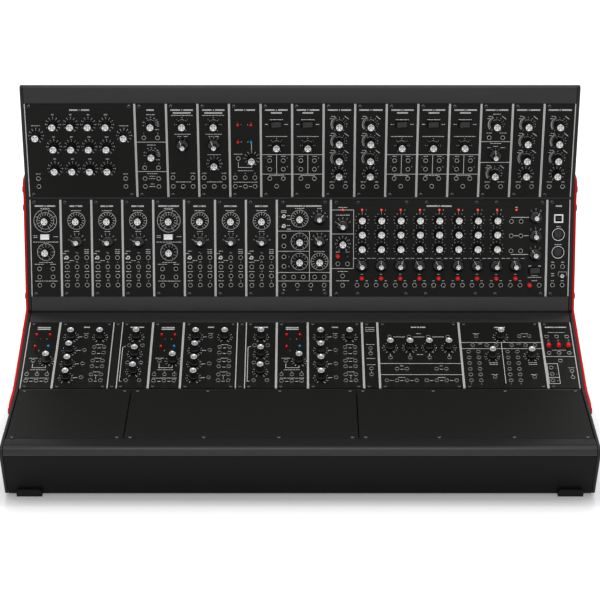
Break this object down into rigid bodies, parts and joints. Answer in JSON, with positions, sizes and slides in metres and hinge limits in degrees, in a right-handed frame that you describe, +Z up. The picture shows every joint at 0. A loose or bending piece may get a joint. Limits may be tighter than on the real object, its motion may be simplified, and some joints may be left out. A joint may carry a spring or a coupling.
{
  "type": "modular synthesizer",
  "caption": "Two-tier modular synthesizer: two metal rack cases joined by red side brackets, with four rows of panels full of knobs, switches and sockets.",
  "frame": {"origin": "on the floor, under the middle of the whole object", "axes": "+X to the right as seen by the player, +Y to the back, +Z up"},
  "size_m": [0.7316, 0.4496, 0.4428],
  "materials": {
    "case_metal": "dark grey powder coat, fine texture",
    "trim": "dark anodised, brushed along its length",
    "panel": "black coated aluminium with light print",
    "bracket": "red powder coat",
    "rubber": "matt black rubber",
    "knob": "black knob with a brushed silver cap",
    "selector": "glossy black disc with a small silver cap",
    "red_plastic": "glossy red",
    "white_plastic": "white",
    "black_plastic": "satin black",
    "steel": "polished",
    "board": "green circuit board with black headers"
  },
  "bodies": {
    "root": {"amplifier_modules": "panel", "attenuator_module": "panel", "big_oscillator_module": "panel", "blank_panel_centre": "panel", "blank_panel_left": "panel", "blank_panel_right": "panel", "bracket_left": "bracket", "bracket_right": "bracket", "computer_link_module": "panel", "filter_bank_module": "panel", "filter_modules": "panel", "front_foot_left": "rubber", "front_foot_right": "rubber", "interface_module": "panel", "lower_case_pan": "case_metal", "lower_centre_rail": "trim", "lower_cheek_left": "trim", "lower_cheek_right": "trim", "lower_front_rail": "trim", "lower_power_inlet": "black_plastic", "lower_rear_rail": "trim", "lower_supply_board": "board", "mixer_modules_centre": "panel", "mixer_modules_left": "panel", "mixer_modules_right": "panel", "oscillator_modules_left": "panel", "oscillator_modules_right": "panel", "rear_foot_left": "rubber", "rear_foot_right": "rubber", "sequencer_module": "panel", "switch_module": "panel", "upper_case_pan": "case_metal", "upper_centre_rail": "trim", "upper_cheek_left": "trim", "upper_cheek_right": "trim", "upper_front_rail": "trim", "upper_power_inlet": "black_plastic", "upper_rear_rail": "trim", "upper_supply_board": "board"},
    "big_oscillator_knob": {"big_oscillator_knob": "knob"},
    "driver_knob": {"driver_knob": "knob"},
    "envelope_knob": {"envelope_knob": "knob"},
    "filter_bank_knob": {"filter_bank_knob": "knob"},
    "mixer_knob": {"mixer_knob": "knob"},
    "oscillator_knob": {"oscillator_knob": "knob"},
    "stage_knob": {"stage_knob": "knob"},
    "low_pass_selector": {"low_pass_selector": "selector"},
    "delay_selector": {"delay_selector": "selector"},
    "oscillator_selector": {"oscillator_selector": "selector"},
    "stage_selector": {"stage_selector": "selector"},
    "voltage_lever": {"voltage_lever": "red_plastic"},
    "oscillator_toggle": {"oscillator_toggle": "steel"},
    "computer_link_toggle": {"computer_link_toggle": "steel"},
    "amplifier_rocker": {"amplifier_rocker": "black_plastic"},
    "driver_rocker": {"driver_rocker": "white_plastic"},
    "sequencer_rocker": {"sequencer_rocker": "black_plastic"},
    "lower_power_rocker": {"lower_power_rocker": "black_plastic"},
    "upper_power_rocker": {"upper_power_rocker": "black_plastic"},
    "stage_button": {"stage_button": "red_plastic"},
    "switch_button": {"switch_button": "red_plastic"}
  },
  "joints": [
    {"name": "big_oscillator_knob_turn", "type": "hinge", "parent": "root", "child": "big_oscillator_knob", "pos_m": [-0.00061, 0.09965, 0.26236], "axis": [0, 0.9848, -0.1736], "range_deg": [-150, 150]},
    {"name": "driver_knob_turn", "type": "hinge", "parent": "root", "child": "driver_knob", "pos_m": [-0.33528, 0.09911, 0.25932], "axis": [0, 0.9848, -0.1736], "range_deg": [-150, 150]},
    {"name": "envelope_knob_turn", "type": "hinge", "parent": "root", "child": "envelope_knob", "pos_m": [0.0508, 0.09534, 0.39085], "axis": [0, 0.9962, 0.0872], "range_deg": [-150, 150]},
    {"name": "filter_bank_knob_turn", "type": "hinge", "parent": "root", "child": "filter_bank_knob", "pos_m": [-0.31933, 0.09534, 0.39085], "axis": [0, 0.9962, 0.0872], "range_deg": [-150, 150]},
    {"name": "mixer_knob_turn", "type": "hinge", "parent": "root", "child": "mixer_knob", "pos_m": [-0.29832, 0.02561, 0.12324], "axis": [0, 0.342, -0.9397], "range_deg": [-150, 150]},
    {"name": "oscillator_knob_turn", "type": "hinge", "parent": "root", "child": "oscillator_knob", "pos_m": [-0.29431, 0.09911, 0.25932], "axis": [0, 0.9848, -0.1736], "range_deg": [-150, 150]},
    {"name": "stage_knob_turn", "type": "hinge", "parent": "root", "child": "stage_knob", "pos_m": [0.08171, 0.09934, 0.26058], "axis": [0, 0.9848, -0.1736], "range_deg": [-150, 150]},
    {"name": "low_pass_selector_turn", "type": "hinge", "parent": "root", "child": "low_pass_selector", "pos_m": [-0.11176, 0.09778, 0.36294], "axis": [0, 0.9962, 0.0872], "range_deg": [0, 60]},
    {"name": "delay_selector_turn", "type": "hinge", "parent": "root", "child": "delay_selector", "pos_m": [0.254, 0.099, 0.34899], "axis": [0, 0.9962, 0.0872], "range_deg": [-30, 30]},
    {"name": "oscillator_selector_turn", "type": "hinge", "parent": "root", "child": "oscillator_selector", "pos_m": [-0.29423, 0.09427, 0.23186], "axis": [0, 0.9848, -0.1736], "range_deg": [0, 150]},
    {"name": "stage_selector_turn", "type": "hinge", "parent": "root", "child": "stage_selector", "pos_m": [0.08171, 0.08867, 0.20009], "axis": [0, 0.9848, -0.1736], "range_deg": [0, 60]},
    {"name": "voltage_lever_tilt", "type": "hinge", "parent": "root", "child": "voltage_lever", "pos_m": [-0.08043, 0.09521, 0.39226], "axis": [1, 0, 0], "range_deg": [-10, 10]},
    {"name": "oscillator_toggle_tilt", "type": "hinge", "parent": "root", "child": "oscillator_toggle", "pos_m": [-0.30773, 0.09066, 0.21136], "axis": [0, 0.1736, 0.9848], "range_deg": [0, 24]},
    {"name": "computer_link_toggle_tilt", "type": "hinge", "parent": "root", "child": "computer_link_toggle", "pos_m": [0.34646, 0.08635, 0.18693], "axis": [0, 0.1736, 0.9848], "range_deg": [0, 24]},
    {"name": "amplifier_rocker_tilt", "type": "hinge", "parent": "root", "child": "amplifier_rocker", "pos_m": [-0.03109, 0.09632, 0.39106], "axis": [0, -0.0872, 0.9962], "range_deg": [-16, 0]},
    {"name": "driver_rocker_tilt", "type": "hinge", "parent": "root", "child": "driver_rocker", "pos_m": [-0.33589, 0.09639, 0.23814], "axis": [0, 0.1736, 0.9848], "range_deg": [-16, 0]},
    {"name": "sequencer_rocker_tilt", "type": "hinge", "parent": "root", "child": "sequencer_rocker", "pos_m": [0.30999, 0.08861, 0.19397], "axis": [0, 0.1736, 0.9848], "range_deg": [-16, 0]},
    {"name": "lower_power_rocker_tilt", "type": "hinge", "parent": "root", "child": "lower_power_rocker", "pos_m": [0.298, 0.07457, 0.0335], "axis": [-1, 0, 0], "range_deg": [-16, 0]},
    {"name": "upper_power_rocker_tilt", "type": "hinge", "parent": "root", "child": "upper_power_rocker", "pos_m": [0.298, 0.19487, 0.41287], "axis": [-1, 0, 0], "range_deg": [-16, 0]},
    {"name": "stage_button_press", "type": "slide", "parent": "root", "child": "stage_button", "axis": [0, 0.9848, -0.1736], "range_m": [0, 0.0015], "stiffness_N_per_m": 80},
    {"name": "switch_button_press", "type": "slide", "parent": "root", "child": "switch_button", "axis": [0, 0.342, -0.9397], "range_m": [0, 0.0015], "stiffness_N_per_m": 80}
  ]
}
